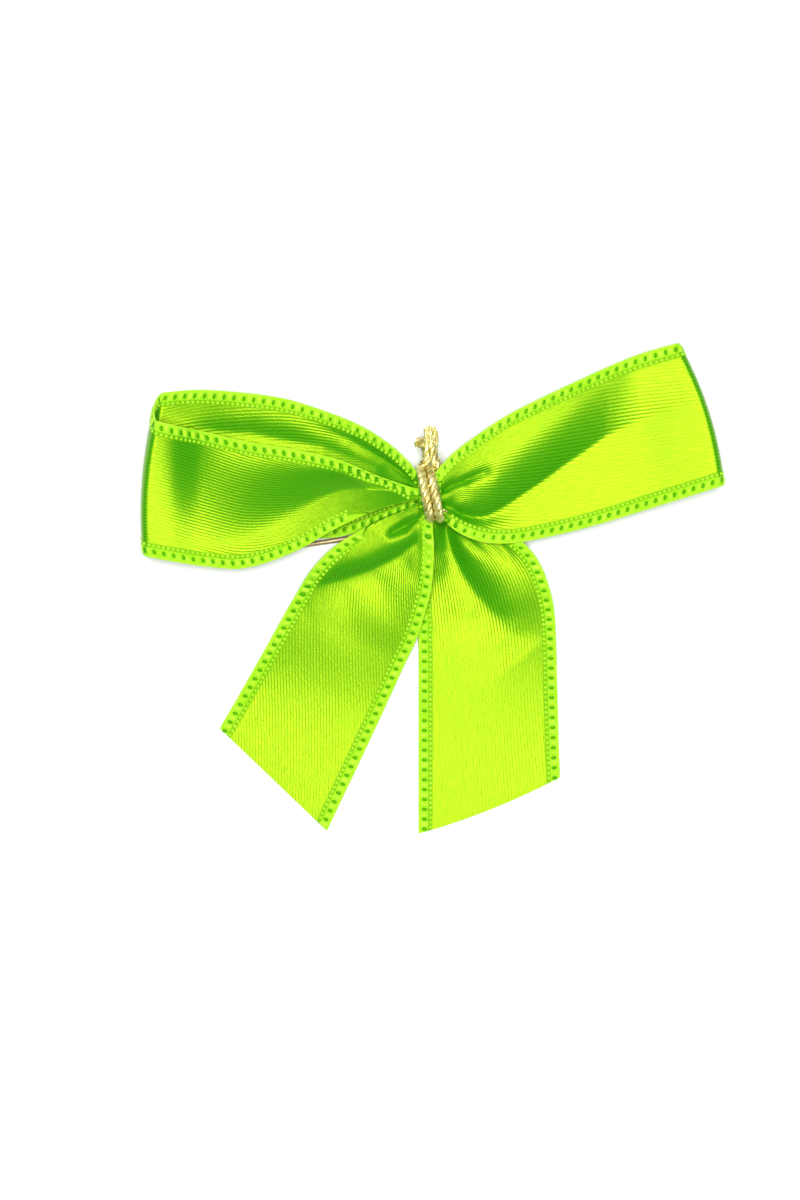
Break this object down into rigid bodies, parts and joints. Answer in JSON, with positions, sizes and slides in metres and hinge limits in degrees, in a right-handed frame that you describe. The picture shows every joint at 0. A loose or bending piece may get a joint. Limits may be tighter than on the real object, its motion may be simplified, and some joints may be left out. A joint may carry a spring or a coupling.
{
  "type": "gift bow",
  "caption": "Ready-tied satin ribbon gift bow: flat loops and slant-cut tails gathered under a gold cord binding, with a bendable wire tie behind.",
  "frame": {"origin": "bottom centre of the bow's box, on the surface that it lies on", "axes": "+X across the two loops, to the right seen from the front; +Y from the tails towards the loops; +Z out of the bow's face, away from the gift"},
  "size_m": [0.0658, 0.0548, 0.0064],
  "materials": {
    "satin_ribbon": "lime green polyester satin with woven selvages",
    "gold_cord": "twisted cord of metallic champagne-gold thread",
    "tie_coating": "tan plastic coating on a soft wire",
    "tie_wire": "bare annealed wire"
  },
  "bodies": {
    "knot": {"ribbon_centre": "satin_ribbon", "binding_cord": "gold_cord", "tail_left_gather": "satin_ribbon", "tail_right_gather": "satin_ribbon", "tie_neck_coating": "tie_coating", "tie_neck_core": "tie_wire"},
    "loop_left": {"loop_left": "satin_ribbon"},
    "loop_right": {"loop_right": "satin_ribbon"},
    "tail_left": {"tail_left": "satin_ribbon"},
    "tail_right": {"tail_right": "satin_ribbon"},
    "tie_upper": {"tie_upper_coating": "tie_coating", "tie_upper_core": "tie_wire"},
    "tie_lower": {"tie_lower_coating": "tie_coating", "tie_lower_core": "tie_wire"}
  },
  "joints": [
    {"name": "loop_left_lift", "type": "hinge", "parent": "knot", "child": "loop_left", "pos_m": [-0.00282, 0.01088, 0.0037], "axis": [0.0785, 0.9969, 0], "range_deg": [0, 40]},
    {"name": "loop_right_lift", "type": "hinge", "parent": "knot", "child": "loop_right", "pos_m": [0.00208, 0.01139, 0.0037], "axis": [0.284, -0.9588, 0], "range_deg": [0, 40]},
    {"name": "tail_left_lift", "type": "hinge", "parent": "knot", "child": "tail_left", "pos_m": [-0.00599, 0.00125, 0.0015], "axis": [-0.8572, 0.515, 0], "range_deg": [0, 60]},
    {"name": "tail_right_lift", "type": "hinge", "parent": "knot", "child": "tail_right", "pos_m": [0.00624, -0.00532, 0.00015], "axis": [-0.9998, -0.0192, 0], "range_deg": [0, 60]},
    {"name": "tie_upper_bend", "type": "hinge", "parent": "knot", "child": "tie_upper", "pos_m": [-0.00347, 0.00753, 0.0003], "axis": [0.1478, -0.989, 0], "range_deg": [0, 110]},
    {"name": "tie_lower_bend", "type": "hinge", "parent": "knot", "child": "tie_lower", "pos_m": [0.00103, 0.0074, 0.0003], "axis": [0.1478, -0.989, 0], "range_deg": [0, 110]}
  ]
}
